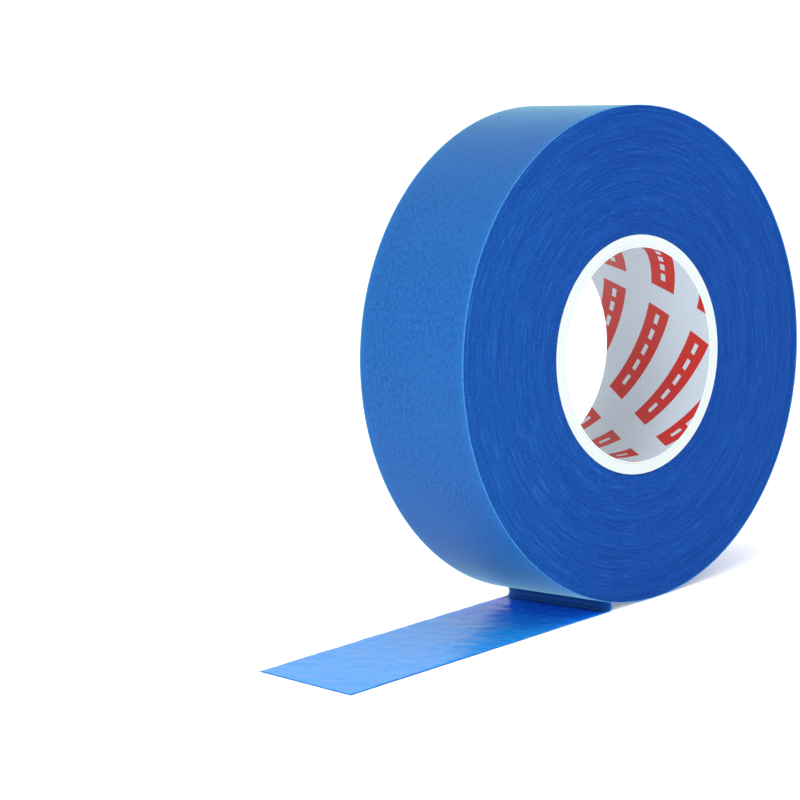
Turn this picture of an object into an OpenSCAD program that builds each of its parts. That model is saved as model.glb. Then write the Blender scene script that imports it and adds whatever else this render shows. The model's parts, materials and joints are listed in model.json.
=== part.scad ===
// Roll of masking tape, standing on its rim, with a short free tail.
//
// A paper core with a printed inner ply carries the wound tape. The last turn
// comes down the left side, peels off just left of the bottom, folds back on
// itself and ends in a tail that lies flat on the ground, adhesive side down.
//
// Millimetres. The origin is the centre of the bore and the roll turns about
// the Y axis. Z is up, the tail runs towards -X, and the roll and its tail
// both rest on Z = -roll_d / 2.

/* [Roll] */
// Outside diameter over the last turn
roll_d = 88.5; // [75:0.5:130]
// Width of the tape, and so of the roll and of its core
tape_w = 25.4; // [12:0.1:50]
// Thickness of the tape: crepe paper backing with its adhesive
tape_t = 0.15; // [0.1:0.01:0.2]
// Radial gap that lets the last turn travel round the winding below it
turn_gap = 0.05; // [0.02:0.01:0.1]

/* [Core] */
// Diameter of the bore
bore_d = 38.1; // [25:0.1:50]
// Thickness of the printed inner ply
liner_t = 0.3; // [0.2:0.05:0.6]
// Thickness of the white board wound over it
board_t = 2; // [1:0.1:4]

/* [Tail] */
// How far round from the bottom the last turn peels off, in degrees
peel_a = 16.3; // [10:0.1:25]
// Length of tape that lies flat past the fold, along its middle
tail_len = 61.3; // [20:0.1:150]
// How much farther the front corner of its end reaches than the back corner
end_skew = 2.5; // [-5:0.1:5]
// Gap at the fold's foot, where the tail hinges
hinge_gap = 0.3; // [0.2:0.05:0.5]
// Width of the seam left open where the last turn begins, in degrees
seam_a = 1.05; // [0.8:0.05:3]

/* [Hidden] */
// Steps in a full circle
circle_steps = 180;
// Radii from the bore outwards
bore_r = bore_d / 2;
liner_r = bore_r + liner_t;
core_r = liner_r + board_t;
roll_r = roll_d / 2;
last_turn_r = roll_r - tape_t;
winding_r = last_turn_r - turn_gap;
// Middle of the last turn's thickness
turn_mid_r = roll_r - tape_t / 2;
// The fold is the arc that leaves the rim smoothly and ends level on the ground
fold_r = turn_mid_r * (1 - cos(peel_a)) / (1 + cos(peel_a));
fold_x = -(turn_mid_r + fold_r) * sin(peel_a);
fold_z = fold_r - turn_mid_r;
fold_sweep = 180 - peel_a;
// Angles run from +X towards +Z, so the bottom is at -90
seam_start = -90 - peel_a + seam_a;
turn_sweep = 360 - seam_a;

printed_ply = [0.70, 0.75, 0.80];
white_board = [0.93, 0.94, 0.94];
blue_crepe = [0.08, 0.26, 0.62];
blue_rim = [0.16, 0.42, 0.74];
blue_fold = [0.08, 0.34, 0.62];
blue_tail = [0.30, 0.52, 0.80];

// A band of tape or paper round the Y axis, between two radii
module band(inner_r, outer_r, start = 0, sweep = 360) {
    rotate([90, 0, 0])
        rotate([0, 0, start])
            rotate_extrude(angle = sweep, $fn = circle_steps)
                translate([inner_r, -tape_w / 2])
                    square([outer_r - inner_r, tape_w]);
}

// Printed paper ply that faces the bore
module core_liner() {
    color(printed_ply)
        band(bore_r, liner_r);
}

// White board tube that the tape is wound on
module core_tube() {
    color(white_board)
        band(liner_r, core_r);
}

// Every turn but the last
module wound_tape() {
    color(blue_crepe)
        band(core_r, winding_r);
}

// Last turn, from the seam right round to the line where it peels off
module last_turn() {
    color(blue_rim)
        band(last_turn_r, roll_r, seam_start, turn_sweep);
}

// Tape turning back from the rim to the ground
module peel_fold() {
    color(blue_fold)
        translate([fold_x, 0, fold_z])
            band(fold_r - tape_t / 2, fold_r + tape_t / 2, -90, fold_sweep);
}

// Flat free end of the tape, cut a little off square
module tail() {
    color(blue_tail)
        translate([fold_x, 0, -roll_r])
            linear_extrude(tape_t)
                polygon([
                    [-tail_len - end_skew / 2, -tape_w / 2],
                    [-hinge_gap, -tape_w / 2],
                    [-hinge_gap, tape_w / 2],
                    [-tail_len + end_skew / 2, tape_w / 2],
                ]);
}

core_liner();
core_tube();
wound_tape();
last_turn();
peel_fold();
tail();
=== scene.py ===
"""Looks of a roll of masking tape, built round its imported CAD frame.

Metres, in the CAD frame: the origin is the centre of the bore, the roll's axis is Y, Z is up and
the tail runs towards -X. The roll and its tail rest on the plane z = -roll_r.
"""

import json
import math
import random

import bmesh
import bpy
from mathutils import Matrix, Vector, noise


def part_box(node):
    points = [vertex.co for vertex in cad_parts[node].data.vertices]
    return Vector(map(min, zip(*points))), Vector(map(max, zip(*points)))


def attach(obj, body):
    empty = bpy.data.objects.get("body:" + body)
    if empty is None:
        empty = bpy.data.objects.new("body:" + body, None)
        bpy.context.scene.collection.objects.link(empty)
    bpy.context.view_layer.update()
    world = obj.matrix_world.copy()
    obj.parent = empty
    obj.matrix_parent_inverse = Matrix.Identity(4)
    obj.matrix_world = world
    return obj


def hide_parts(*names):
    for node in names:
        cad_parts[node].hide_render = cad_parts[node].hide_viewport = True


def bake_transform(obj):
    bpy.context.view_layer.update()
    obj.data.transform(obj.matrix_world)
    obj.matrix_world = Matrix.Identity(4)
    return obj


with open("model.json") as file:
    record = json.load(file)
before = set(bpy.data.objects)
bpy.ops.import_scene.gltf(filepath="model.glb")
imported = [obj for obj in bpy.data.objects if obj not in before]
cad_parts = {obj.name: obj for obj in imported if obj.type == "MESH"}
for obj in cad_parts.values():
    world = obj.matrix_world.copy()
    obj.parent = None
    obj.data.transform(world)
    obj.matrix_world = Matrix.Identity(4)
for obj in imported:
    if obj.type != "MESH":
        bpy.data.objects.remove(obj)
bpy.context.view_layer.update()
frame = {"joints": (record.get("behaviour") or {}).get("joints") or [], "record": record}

MM = 0.001
# Steps round the core's pieces
core_steps = 192

# Sizes, read from the frame
mounts = {mount["name"]: mount for mount in frame["record"]["mounts"]}
joints = {joint["name"]: joint for joint in frame["joints"]}
bore_r = mounts["core_bore"]["dims"]["r_mm"] * MM
tape_w = mounts["core_bore"]["dims"]["length_mm"] * MM
liner_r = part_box("core_liner")[1].z
core_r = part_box("core_tube")[1].z
winding_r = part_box("wound_tape")[1].z
roll_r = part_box("last_turn")[1].z
tail_low, tail_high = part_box("tail")
tape_t = tail_high.z - tail_low.z
ground = tail_low.z
foot = Vector(joints["tail_swing"]["pos_m"])

# The fold leaves the rim smoothly and ends level at its foot
turn_mid_r = roll_r - tape_t / 2
peel_angle = 2 * math.atan(-foot.x / (2 * turn_mid_r))
fold_r = turn_mid_r * math.tan(peel_angle / 2) ** 2
# The last turn begins this far past the peel line
seam_angle = math.radians(1.05)
# The front corner of the tail's end reaches farther than the back corner by this much
end_skew = 2.5 * MM
# Length of the tail past the fold, along its middle
tail_l = foot.x - tail_low.x - end_skew / 2
# How loose the tape is just past the fold, where the tail's colour is all painted shade from the roll. It is
# 0 on the roll and 1 over most of the tail
shaded_loose = 0.3


# ---------------------------------------------------------------- helpers: shapes

def mesh_piece(name, points, faces, materials, slots=None, smooth=True):
    """A mesh object from points and faces, with its normals outwards."""
    mesh = bpy.data.meshes.new(name)
    mesh.from_pydata(points, [], faces)
    for material in materials:
        mesh.materials.append(material)
    if slots:
        mesh.polygons.foreach_set("material_index", slots)
    mesh.polygons.foreach_set("use_smooth", [smooth] * len(mesh.polygons))
    mesh.update()
    piece = bpy.data.objects.new(name, mesh)
    bpy.context.scene.collection.objects.link(piece)
    return piece


def turned(name, profile, steps, material):
    """A ring about the Y axis, from its closed profile of (radius, y) pairs.

    The profile may also be a function that gives those pairs for an angle.
    """
    points = []
    for i in range(steps):
        angle = 2 * math.pi * i / steps
        for radius, y in (profile(angle) if callable(profile) else profile):
            points.append((radius * math.cos(angle), y, radius * math.sin(angle)))
    count = len(points) // steps
    faces = []
    for i in range(steps):
        here = i * count
        there = (i + 1) % steps * count
        for k in range(count):
            after = (k + 1) % count
            faces.append((here + k, there + k, there + after, here + after))
    return mesh_piece(name, points, faces, [material])


def rounded_band(inner_r, outer_r, half_w, edge_r, arc_steps=4):
    """Closed profile of a flat band with rounded edges, as (radius, y) pairs."""
    corners = [
        (inner_r + edge_r, -half_w + edge_r, 180),
        (outer_r - edge_r, -half_w + edge_r, 270),
        (outer_r - edge_r, half_w - edge_r, 0),
        (inner_r + edge_r, half_w - edge_r, 90),
    ]
    profile = []
    for radius, y, start in corners:
        for k in range(arc_steps + 1):
            turn = math.radians(start + 90 * k / arc_steps)
            profile.append((radius + edge_r * math.cos(turn), y + edge_r * math.sin(turn)))
    return profile


# ---------------------------------------------------------------- helpers: materials

class Shader:
    """A material's node tree, with its Principled shader at hand."""

    def __init__(self, name, **settings):
        self.material = bpy.data.materials.new(name)
        self.material.use_nodes = True
        self.tree = self.material.node_tree
        self.surface = self.tree.nodes["Principled BSDF"]
        for socket, value in settings.items():
            self.surface.inputs[socket.replace("_", " ")].default_value = value

    def feed(self, socket, value):
        """Links a socket to another node's output, or sets its value."""
        if isinstance(value, bpy.types.NodeSocket):
            self.tree.links.new(value, socket)
        else:
            socket.default_value = value

    def math(self, operation, *values):
        node = self.tree.nodes.new("ShaderNodeMath")
        node.operation = operation
        for socket, value in zip(node.inputs, values):
            self.feed(socket, value)
        return node.outputs[0]

    def split(self, vector):
        parts = self.tree.nodes.new("ShaderNodeSeparateXYZ")
        self.tree.links.new(vector, parts.inputs[0])
        return parts.outputs[0], parts.outputs[1], parts.outputs[2]

    def place(self):
        """Where a point is in the piece's own space, in millimetres, as x, y and z."""
        coordinates = self.tree.nodes.new("ShaderNodeTexCoord")
        scale = self.tree.nodes.new("ShaderNodeVectorMath")
        scale.operation = "SCALE"
        scale.inputs["Scale"].default_value = 1 / MM
        self.tree.links.new(coordinates.outputs["Object"], scale.inputs[0])
        return self.split(scale.outputs[0])

    def from_axis(self, x, z):
        """Distance from the roll's axis."""
        squares = self.math("ADD", self.math("MULTIPLY", x, x), self.math("MULTIPLY", z, z))
        return self.math("SQRT", squares)

    def attribute(self, name):
        node = self.tree.nodes.new("ShaderNodeAttribute")
        node.attribute_name = name
        return node

    def vector(self, x, y, z):
        node = self.tree.nodes.new("ShaderNodeCombineXYZ")
        for socket, value in zip(node.inputs, (x, y, z)):
            self.feed(socket, value)
        return node.outputs[0]

    def stretched(self, place, x, y):
        """The place scaled along x and y."""
        node = self.tree.nodes.new("ShaderNodeVectorMath")
        node.operation = "MULTIPLY"
        node.inputs[1].default_value = (x, y, 1.0)
        self.tree.links.new(place, node.inputs[0])
        return node.outputs[0]

    def noise(self, place, scale, detail=2.0, roughness=0.5):
        node = self.tree.nodes.new("ShaderNodeTexNoise")
        node.inputs["Scale"].default_value = scale
        node.inputs["Detail"].default_value = detail
        node.inputs["Roughness"].default_value = roughness
        self.tree.links.new(place, node.inputs["Vector"])
        return node.outputs["Fac"]

    def ramp(self, value, low, high, to_low=0.0, to_high=1.0):
        """Maps low to high onto to_low to to_high, and holds it there beyond."""
        node = self.tree.nodes.new("ShaderNodeMapRange")
        for socket, number in zip(node.inputs[:5], (value, low, high, to_low, to_high)):
            self.feed(socket, number)
        return node.outputs[0]

    def mix(self, share, colour_a, colour_b):
        node = self.tree.nodes.new("ShaderNodeMix")
        node.data_type = "RGBA"
        self.feed(node.inputs["Factor"], share)
        for socket, colour in ((node.inputs[6], colour_a), (node.inputs[7], colour_b)):
            self.feed(socket, (*colour, 1.0) if isinstance(colour, tuple) else colour)
        return node.outputs[2]

    def bump(self, height, depth_mm, strength=1.0):
        """Roughens the surface; height runs from 0 to 1 over depth_mm."""
        node = self.tree.nodes.new("ShaderNodeBump")
        node.inputs["Distance"].default_value = depth_mm * MM
        node.inputs["Strength"].default_value = strength
        self.tree.links.new(height, node.inputs["Height"])
        self.tree.links.new(node.outputs[0], self.surface.inputs["Normal"])

    def colour(self, value):
        self.tree.links.new(value, self.surface.inputs["Base Color"])

    def roughness(self, value):
        self.tree.links.new(value, self.surface.inputs["Roughness"])


# ---------------------------------------------------------------- materials

def crepe_backing(name, **settings):
    """Crepe paper of the tape's outside: deep blue on the roll, paler and glossier where it lies loose, with
    painted shade on the tail next to the fold and painted light and shade on the roll by the fold and along
    its edges.
    """
    shader = Shader(name, **settings)
    tape = shader.attribute("tape_mm").outputs["Vector"]
    loose = shader.attribute("loose").outputs["Fac"]
    run, across, _ = shader.split(tape)
    on_roll = shader.ramp(loose, 0.0, shaded_loose, 1.0, 0.0)
    on_tail = shader.math("SUBTRACT", 1.0, on_roll)

    # Fine fibres show on the roll, broader creases across the tape on the tail
    ridges = shader.noise(shader.stretched(tape, 0.6, 1.0), 1.8, 3.0, 0.6)
    grain = shader.noise(tape, 2.8, 2.0, 0.6)
    fibre = shader.math("ADD", shader.math("MULTIPLY", ridges, 0.6), shader.math("MULTIPLY", grain, 0.4))
    creases = shader.noise(shader.stretched(tape, 1.2, 0.7), 0.5, 2.0, 0.5)
    mottle = shader.ramp(fibre, 0.40, 0.60)
    streaks = shader.ramp(creases, 0.38, 0.62)
    clouds = shader.noise(tape, 0.07, 2.0)

    rolled = shader.mix(mottle, (0.004, 0.058, 0.247), (0.009, 0.107, 0.355))
    rolled = shader.mix(shader.ramp(clouds, 0.35, 0.65, 0.0, 0.4), rolled, (0.007, 0.099, 0.325))
    # Painted shade: next to the fold the tail is a deeper, more saturated blue, standing in for the roll's
    # shade and its blue bounce light
    shaded = shader.mix(streaks, (0.003, 0.140, 0.78), (0.006, 0.180, 0.90))
    single = shader.mix(streaks, (0.010, 0.247, 0.69), (0.018, 0.278, 0.74))
    base = shader.mix(shader.ramp(loose, 0.0, shaded_loose), rolled, shaded)
    base = shader.mix(shader.ramp(loose, shaded_loose, 1.0), base, single)

    # Painted light and shade on the roll: the tape is painted a brighter blue just before it peels off, where
    # little light reaches, painted darker inside the fold, where shade falls, and painted paler along its
    # edges as highlights
    peel_at = turn_mid_r * (2 * math.pi - seam_angle) / MM
    painted_light_before_peel = shader.ramp(run, peel_at - 16, peel_at - 2, 0.0, 0.8)
    painted_shade_in_fold = shader.ramp(run, peel_at, peel_at + 0.8, 0.0, 0.85)
    half_w = tape_w / 2 / MM
    from_middle = shader.math("ABSOLUTE", across)
    painted_light_near_edge = shader.ramp(from_middle, half_w - 2.4, half_w, 0.0, 0.3)
    painted_highlight_at_edge = shader.ramp(from_middle, half_w - 0.4, half_w - 0.1, 0.0, 0.35)
    for share, tint in (
        (painted_light_before_peel, (0.004, 0.13, 0.62)),
        (painted_shade_in_fold, (0.001, 0.03, 0.16)),
        (painted_light_near_edge, (0.010, 0.14, 0.39)),
        (painted_highlight_at_edge, (0.05, 0.25, 0.62)),
    ):
        base = shader.mix(shader.math("MULTIPLY", share, on_roll), base, tint)
    shader.colour(base)

    rough_on_roll = shader.math("MULTIPLY", on_roll, shader.ramp(fibre, 0.3, 0.7, 0.46, 0.58))
    rough_on_tail = shader.math("MULTIPLY", on_tail, shader.ramp(creases, 0.3, 0.7, 0.24, 0.30))
    shader.roughness(shader.math("ADD", rough_on_roll, rough_on_tail))
    grain_height = shader.math("MULTIPLY", fibre, shader.ramp(loose, 0.0, shaded_loose, 1.0, 0.05))
    crease_height = shader.math("MULTIPLY", creases, shader.math("MULTIPLY", on_tail, 2.2))
    shader.bump(shader.math("ADD", grain_height, crease_height), 0.05, 0.6)
    return shader.material


def cut_edge():
    """Slit edge of the last turn and the tail: a painted highlight of pale fibres on the roll, painted shade
    on the tail.
    """
    shader = Shader("cut_edge", Roughness=0.7, Specular_IOR_Level=0.2)
    tape = shader.attribute("tape_mm").outputs["Vector"]
    loose = shader.attribute("loose").outputs["Fac"]
    fibres = shader.noise(tape, 2.0, 3.0)
    # Painted highlight on the roll's slit edge, turning to painted shade on the tail
    painted_highlight = shader.mix(shader.ramp(fibres, 0.35, 0.65), (0.02, 0.17, 0.50), (0.07, 0.28, 0.66))
    shader.colour(shader.mix(loose, painted_highlight, (0.006, 0.11, 0.42)))
    return shader.material


def adhesive_side():
    """Underside of the tape: the same paper seen through its clear tacky coat."""
    shader = Shader("adhesive_side", Coat_Weight=0.6, Coat_Roughness=0.18)
    tape = shader.attribute("tape_mm").outputs["Vector"]
    coat = shader.noise(tape, 0.9, 3.0)
    shader.colour(shader.mix(shader.ramp(coat, 0.3, 0.7), (0.03, 0.20, 0.52), (0.07, 0.28, 0.62)))
    shader.roughness(shader.ramp(coat, 0.3, 0.7, 0.3, 0.5))
    shader.bump(coat, 0.03, 0.4)
    return shader.material


def turn_edges():
    """Cut edges of the turns: deep blue, with short paler strokes painted as highlights of turns that stand
    proud, and painted light towards the left.
    """
    shader = Shader("turn_edges", Specular_IOR_Level=0.05, Roughness=0.65)
    x, y, z = shader.place()
    radius = shader.from_axis(x, z)
    turn = shader.math("ARCTAN2", z, x)

    def strokes(per_mm, per_radian, detail):
        """Noise drawn out along the turns."""
        place = shader.vector(
            shader.math("MULTIPLY", radius, per_mm),
            shader.math("MULTIPLY", shader.math("COSINE", turn), per_radian),
            shader.math("MULTIPLY", shader.math("SINE", turn), per_radian),
        )
        return shader.noise(place, 1.0, detail, 0.6)

    fine = strokes(3.4, 8.0, 2.0)
    rings = strokes(2.6, 2.4, 3.0)
    bands = strokes(0.5, 1.2, 2.0)
    grain = shader.noise(shader.vector(x, y, z), 2.6, 3.0, 0.7)
    base = shader.mix(shader.ramp(bands, 0.3, 0.7), (0.0019, 0.043, 0.247), (0.0037, 0.055, 0.288))
    # Painted light: the side is paler towards the left, where more light falls on it
    painted_light_from_left = shader.ramp(x, 0.0, -36.0)
    base = shader.mix(shader.math("MULTIPLY", painted_light_from_left, 0.35), base, (0.007, 0.093, 0.329))
    base = shader.mix(shader.ramp(grain, 0.50, 0.36, 0.0, 0.6), base, (0.0019, 0.029, 0.183))
    base = shader.mix(shader.ramp(grain, 0.56, 0.67, 0.0, 0.6), base, (0.019, 0.111, 0.439))
    base = shader.mix(shader.ramp(rings, 0.46, 0.60, 0.0, 0.30), base, (0.0056, 0.080, 0.348))
    base = shader.mix(shader.ramp(rings, 0.46, 0.34, 0.0, 0.35), base, (0.0019, 0.032, 0.197))
    drawn = shader.math("MULTIPLY", shader.ramp(fine, 0.54, 0.70), shader.ramp(rings, 0.42, 0.60, 0.4, 1.0))
    # Painted highlights: the strokes grow paler and stronger towards the left, with the painted light
    painted_highlight = shader.math("MULTIPLY", drawn, shader.ramp(painted_light_from_left, 0.0, 1.0, 0.35, 0.65))
    shader.colour(shader.mix(painted_highlight, base, (0.028, 0.133, 0.476)))
    height = shader.math("ADD", shader.math("MULTIPLY", rings, 0.6), shader.math("MULTIPLY", grain, 0.4))
    shader.bump(height, 0.05, 0.5)
    return shader.material


def white_board():
    """White lined board of the core, with paper fibres."""
    shader = Shader("white_board", Roughness=0.78, Specular_IOR_Level=0.25)
    x, y, z = shader.place()
    place = shader.vector(x, y, z)
    fibres = shader.noise(place, 2.5, 5.0, 0.65)
    blotches = shader.noise(place, 0.25, 2.0)
    base = shader.mix(shader.ramp(fibres, 0.3, 0.7), (0.598, 0.659, 0.659), (0.640, 0.701, 0.701))
    shader.colour(shader.mix(shader.ramp(blotches, 0.4, 0.7, 0.0, 0.25), base, (0.603, 0.645, 0.636)))
    shader.bump(fibres, 0.04, 0.4)
    return shader.material


def printed_ply():
    """Coated paper that lines the bore, printed with slanted red bars that each hold a row of dashes."""
    shader = Shader("printed_ply", Specular_IOR_Level=0.3)
    x, y, z = shader.place()
    around = shader.math("MULTIPLY", shader.math("ARCTAN2", z, x), bore_r / MM)
    girth = 2 * math.pi * bore_r / MM

    # The ply is wound as a helix, so its print runs at a slant, six rows to the strip
    slant = math.radians(30.6)
    rows = 6
    row_pitch = girth * math.sin(slant) / rows
    bar_pitch = 24.5
    bar_l = 19.4
    bar_w = 4.9
    first_bar = -5.3
    first_row = -11.4
    seam_row = -2.25
    seam_w = 0.12
    along = shader.math(
        "SUBTRACT",
        shader.math("MULTIPLY", y, math.sin(slant)),
        shader.math("MULTIPLY", around, math.cos(slant)),
    )
    across = shader.math(
        "ADD",
        shader.math("MULTIPLY", y, math.cos(slant)),
        shader.math("MULTIPLY", around, math.sin(slant)),
    )
    # Each lap of the strip carries on from the last along its length
    seam = first_row + seam_row * row_pitch
    from_seam = shader.math("SUBTRACT", across, seam)
    lap = shader.math("FLOOR", shader.math("DIVIDE", from_seam, rows * row_pitch))
    run = shader.math("ADD", along, shader.math("MULTIPLY", lap, girth * math.cos(slant)))
    u = shader.math("FLOORED_MODULO", shader.math("SUBTRACT", run, first_bar), bar_pitch)
    v = shader.math("FLOORED_MODULO", shader.math("SUBTRACT", across, first_row), row_pitch)

    def between(value, low, high):
        above = shader.math("GREATER_THAN", value, low)
        return shader.math("MULTIPLY", above, shader.math("LESS_THAN", value, high))

    bar = shader.math("MULTIPLY", between(u, 0.0, bar_l), between(v, 0.0, bar_w))
    dash_pitch = 3.4
    dash_l = 2.1
    dash_w = 0.9
    first_dash = 1.5
    last_dash = bar_l - 1.4
    dash_at = shader.math("MODULO", shader.math("SUBTRACT", u, first_dash), dash_pitch)
    dashes = shader.math("MULTIPLY", between(dash_at, 0.0, dash_l), between(u, first_dash, last_dash))
    dashes = shader.math("MULTIPLY", dashes, between(v, (bar_w - dash_w) / 2, (bar_w + dash_w) / 2))
    ink = shader.math("MULTIPLY", bar, shader.math("SUBTRACT", 1.0, dashes))
    joint_line = between(shader.math("FLOORED_MODULO", from_seam, rows * row_pitch), 0.0, seam_w)

    place = shader.vector(x, y, z)
    fibres = shader.noise(place, 1.8, 4.0, 0.6)
    # Painted shade: the paper of the bore's face is a darker blue-grey than the bare paper, standing in for
    # the shade inside the bore
    paper_in_painted_shade = shader.mix(shader.ramp(fibres, 0.3, 0.7), (0.429, 0.511, 0.576), (0.487, 0.576, 0.639))
    red = shader.mix(shader.ramp(fibres, 0.3, 0.7), (0.386, 0.014, 0.011), (0.454, 0.021, 0.015))
    printed = shader.mix(ink, paper_in_painted_shade, red)
    printed = shader.mix(shader.math("MULTIPLY", joint_line, 0.5), printed, (0.241, 0.251, 0.270))
    # Only the face in the bore is printed, on paper painted in shade: the ply's ends show bare paper
    radius = shader.from_axis(x, z)
    inside = shader.ramp(radius, bore_r / MM + 0.01, bore_r / MM + 0.04)
    shader.colour(shader.mix(inside, printed, (0.666, 0.729, 0.729)))
    shader.roughness(shader.ramp(fibres, 0.3, 0.7, 0.38, 0.5))
    shader.bump(fibres, 0.02, 0.3)
    return shader.material


def floor_paper():
    """Plain pale floor with a trace of unevenness, lit from below like a photographer's light table."""
    glow = {"Emission_Color": (1.0, 1.0, 1.0, 1.0), "Emission_Strength": 0.25}
    shader = Shader("floor_paper", Roughness=0.9, Specular_IOR_Level=0.0, **glow)
    x, y, z = shader.place()
    clouds = shader.noise(shader.vector(x, y, z), 0.004, 2.0)
    shader.colour(shader.mix(clouds, (0.97, 0.97, 0.97), (0.985, 0.985, 0.985)))
    return shader.material


# ---------------------------------------------------------------- pieces

def core_board(material):
    """Board tube, its ends showing the faint lines between its plies."""
    plies = 3
    line_w = 0.05 * MM
    line_depth = 0.03 * MM
    half_w = tape_w / 2
    edge_r = 0.16 * MM
    profile = rounded_band(liner_r, core_r, half_w, edge_r)
    corner = len(profile) // 4
    ends = []
    for k in range(1, plies):
        middle = liner_r + (core_r - liner_r) * k / plies
        ends.append([(middle - line_w, 0.0), (middle, line_depth), (middle + line_w, 0.0)])
    front = [(r, -half_w + d) for line in ends for r, d in line]
    back = [(r, half_w - d) for line in reversed(ends) for r, d in reversed(line)]
    whole = profile[:corner] + front + profile[corner:3 * corner] + back + profile[3 * corner:]
    return turned("core_board", whole, core_steps, material)


def printed_liner(material):
    """Thin printed ply inside the board tube."""
    edge_r = 0.08 * MM
    profile = rounded_band(bore_r, liner_r, tape_w / 2, edge_r, 3)
    return turned("printed_liner", profile, core_steps, material)


def wound_turns(material):
    """The winding. Each turn's edge is a little proud or shy of the next, differently round the roll."""
    turns = 158
    steps = 256
    deepest = 0.09 * MM
    first_turns = 0.2 * MM
    draw = random.Random(11)
    shy = {side: [draw.gauss(0.0, 0.22) for _ in range(turns + 1)] for side in (-1, 1)}

    def depth(turn, angle, side):
        if turn < 2:
            return first_turns
        slow = noise.noise(Vector((turn * 0.16, 1.1 * math.cos(angle), side * 7 + 1.1 * math.sin(angle))))
        quick = noise.noise(Vector((turn * 0.7, 2.4 * math.cos(angle), side * 7 + 2.4 * math.sin(angle))))
        share = 0.45 + 0.25 * slow + 0.45 * quick + 0.5 * shy[side][turn]
        return deepest * min(1.0, max(0.0, share))

    def profile(angle):
        radii = [core_r + (winding_r - core_r) * k / turns for k in range(turns + 1)]
        front = [(r, -tape_w / 2 + depth(k, angle, -1)) for k, r in enumerate(radii)]
        back = [(r, tape_w / 2 - depth(k, angle, 1)) for k, r in enumerate(radii)]
        return front + back[::-1]

    return turned("wound_turns", profile, steps, material)


def tape_path():
    """Middle line of the last turn, the fold and the tail, as rows across the tape.

    A row is x, z, outward x, outward z, the length so far and how loose the tape is.
    """
    turn_rows = 560
    fold_rows = 22
    tail_rows = 200
    # Over shaded_l the tail's colour turns into the painted shade of the roll, and over fading_l that painted
    # shade fades into the single layer's paler blue
    shaded_l = 2 * MM
    fading_l = 16 * MM
    path = []

    start = -math.pi / 2 - peel_angle + seam_angle
    sweep = 2 * math.pi - seam_angle
    for k in range(turn_rows + 1):
        angle = start + sweep * k / turn_rows
        out = (math.cos(angle), math.sin(angle))
        path.append((turn_mid_r * out[0], turn_mid_r * out[1], *out, turn_mid_r * sweep * k / turn_rows, 0.0))

    # In the fold the tape's outside faces the fold's centre
    length = path[-1][4]
    sweep = math.pi - peel_angle
    for k in range(1, fold_rows + 1):
        angle = math.pi / 2 - peel_angle - sweep * k / fold_rows
        out = (-math.cos(angle), -math.sin(angle))
        x = foot.x - fold_r * out[0]
        z = foot.z + fold_r - fold_r * out[1]
        path.append((x, z, *out, length + fold_r * sweep * k / fold_rows, 0.0))

    length = path[-1][4]
    for k in range(1, tail_rows + 1):
        past_foot = tail_l * k / tail_rows
        loose = shaded_loose * min(1.0, past_foot / shaded_l)
        loose += (1 - shaded_loose) * min(1.0, max(0.0, (past_foot - shaded_l) / fading_l))
        path.append((foot.x - past_foot, foot.z, 0.0, 1.0, length + past_foot, loose))
    return path


def crepe_lift(run, y, past_foot):
    """How far the paper stands off its path: fine crepe on the roll, low wrinkles on the tail."""
    crepe_h = 0.006 * MM
    swell_h = 0.10 * MM
    wrinkle_h = 0.07 * MM
    settle_l = 6 * MM
    if past_foot <= 0:
        return crepe_h * noise.noise(Vector((run / MM * 1.7, y / MM * 0.7, 3.0)))
    swell = noise.noise(Vector((past_foot / MM * 0.16, y / MM * 0.10, 9.0)))
    wrinkle = noise.noise(Vector((past_foot / MM * 0.48, y / MM * 0.30, 5.0)))
    settled = min(1.0, past_foot / settle_l)
    return settled * (swell_h * max(0.0, swell + 0.1) + wrinkle_h * max(0.0, wrinkle + 0.6))


def tape_strip(on_roll, on_tail, adhesive, edges):
    """The last turn, the fold and the tail as the one strip of tape that they are."""
    path = tape_path()
    columns = 60
    foot_at = path[-1][4] - tail_l
    points = []
    tape_mm = []
    loose = []
    for face in (1, -1):
        for x, z, out_x, out_z, run, slack in path:
            past_foot = run - foot_at
            for c in range(columns + 1):
                y = tape_w * (c / columns - 0.5)
                shift = tape_t / 2 * face + crepe_lift(run, y, past_foot)
                # The cut end slants, so the front of the tail is longer than its back
                longer = -y / tape_w * end_skew * max(0.0, past_foot) / tail_l
                points.append((x + out_x * shift - longer, y, z + out_z * shift))
                tape_mm.append(((run + longer) / MM, y / MM, 0.0))
                loose.append(slack)

    # Material slots, in the order of the materials below
    roll_slot, tail_slot, adhesive_slot, edge_slot = range(4)
    rows = len(path)
    wide = columns + 1
    under = rows * wide
    faces = []
    slots = []
    for r in range(rows - 1):
        for c in range(columns):
            a = r * wide + c
            faces.append((a, a + 1, a + wide + 1, a + wide))
            slots.append(tail_slot if path[r + 1][4] > foot_at + tape_t else roll_slot)
            b = under + a
            faces.append((b, b + wide, b + wide + 1, b + 1))
            slots.append(adhesive_slot)
        for c in (0, columns):
            a = r * wide + c
            side = (a, a + wide, under + a + wide, under + a)
            faces.append(side if c == 0 else side[::-1])
            slots.append(edge_slot)
    for r in (0, rows - 1):
        for c in range(columns):
            a = r * wide + c
            end = (a, under + a, under + a + 1, a + 1)
            faces.append(end if r == 0 else end[::-1])
            slots.append(edge_slot)
    piece = mesh_piece("tape_strip", points, faces, [on_roll, on_tail, adhesive, edges], slots)
    stored = piece.data.attributes.new("tape_mm", "FLOAT_VECTOR", "POINT")
    stored.data.foreach_set("vector", [number for place in tape_mm for number in place])
    stored = piece.data.attributes.new("loose", "FLOAT", "POINT")
    stored.data.foreach_set("value", loose)
    sharp = piece.data.attributes.new("sharp_face", "BOOLEAN", "FACE")
    sharp.data.foreach_set("value", [slot == edge_slot for slot in slots])
    return piece


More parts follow.
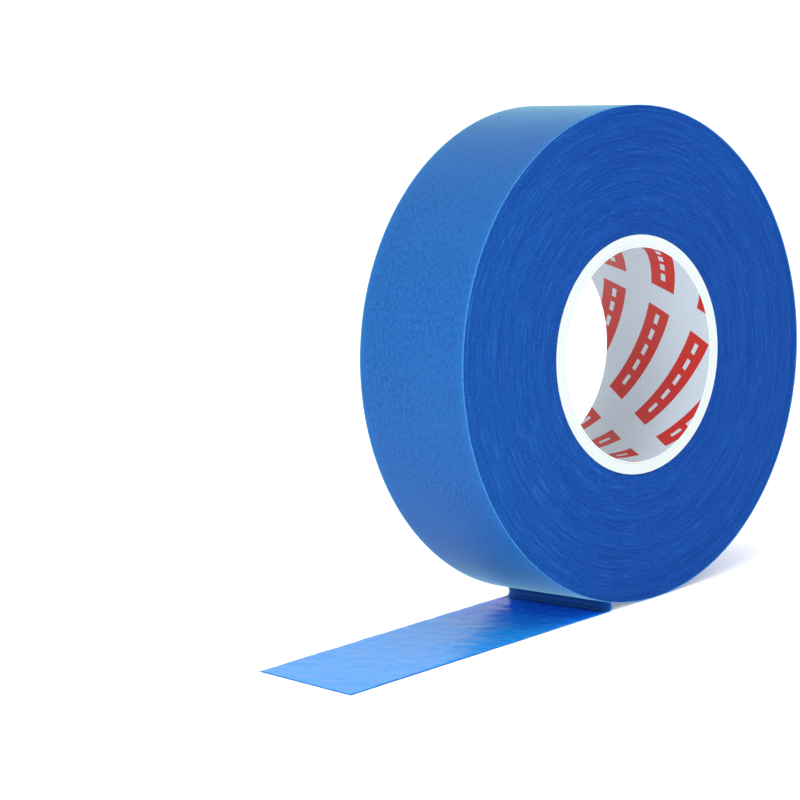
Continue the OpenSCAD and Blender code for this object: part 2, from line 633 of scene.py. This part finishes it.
def outward(piece):
    """Turns every face of a closed piece outwards."""
    work = bmesh.new()
    work.from_mesh(piece.data)
    bmesh.ops.recalc_face_normals(work, faces=work.faces)
    work.to_mesh(piece.data)
    work.free()
    piece.data.update()


board = core_board(white_board())
liner = printed_liner(printed_ply())
winding = wound_turns(turn_edges())
# The crepe's loose fibres catch the light where the rim turns away
fuzz = {"Sheen_Weight": 0.5, "Sheen_Roughness": 0.3, "Sheen_Tint": (0.44, 0.97, 0.95, 1.0)}
strip = tape_strip(
    on_roll=crepe_backing("crepe_on_roll", Specular_IOR_Level=0.12, **fuzz),
    on_tail=crepe_backing("crepe_tail", Specular_IOR_Level=0.2),
    adhesive=adhesive_side(),
    edges=cut_edge(),
)

for piece, node, slot in (
    (board, "core_tube", "white_board"),
    (liner, "core_liner", "printed_ply"),
    (winding, "wound_tape", "wound_crepe"),
):
    outward(piece)
    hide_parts(node)
    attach(piece, "roll")

outward(strip)
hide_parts("last_turn", "peel_fold", "tail")
tape_path()[-1][4]
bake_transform(strip)


# ---------------------------------------------------------------- floor, light and camera

def floor():
    size = 12.0
    corners = [(-size, -size, ground), (size, -size, ground), (size, size, ground), (-size, size, ground)]
    return mesh_piece("floor", corners, [(0, 1, 2, 3)], [floor_paper()], smooth=False)


def soft_light(name, place, size, watts):
    """A square lamp that faces the roll."""
    lamp = bpy.data.lights.new(name, "AREA")
    lamp.size = size
    lamp.energy = watts
    holder = bpy.data.objects.new(name, lamp)
    holder.location = place
    holder.rotation_euler = (-Vector(place)).to_track_quat("-Z", "Y").to_euler()
    bpy.context.scene.collection.objects.link(holder)


def studio():
    world = bpy.data.worlds.new("studio")
    world.use_nodes = True
    backdrop = world.node_tree.nodes["Background"]
    backdrop.inputs["Color"].default_value = (1.0, 1.0, 1.0, 1.0)
    backdrop.inputs["Strength"].default_value = 1.01
    bpy.context.scene.world = world
    bpy.context.scene.view_settings.view_transform = "Standard"
    soft_light("top_light", (-0.15, -0.1, 0.9), 0.9, 4.0)
    soft_light("left_light", (-0.5, -0.2, 0.06), 0.2, 1.0)


def photo_camera():
    """Looks at the roll from the front left and a little above, on a long lens."""
    lens = bpy.data.cameras.new("camera")
    lens.sensor_width = 36.0
    lens.lens = 132.4
    heading = math.radians(42.94)
    down = math.radians(9.29)
    roll = math.radians(-4.67)
    radii_off = Vector((-8.668, -8.172, 1.806))
    turn = Matrix.Rotation(-heading, 4, "Z") @ Matrix.Rotation(math.pi / 2 - down, 4, "X")
    camera = bpy.data.objects.new("camera", lens)
    camera.matrix_world = Matrix.Translation(radii_off * roll_r) @ turn @ Matrix.Rotation(roll, 4, "Z")
    bpy.context.scene.collection.objects.link(camera)
    bpy.context.scene.camera = camera


floor()
studio()
photo_camera()
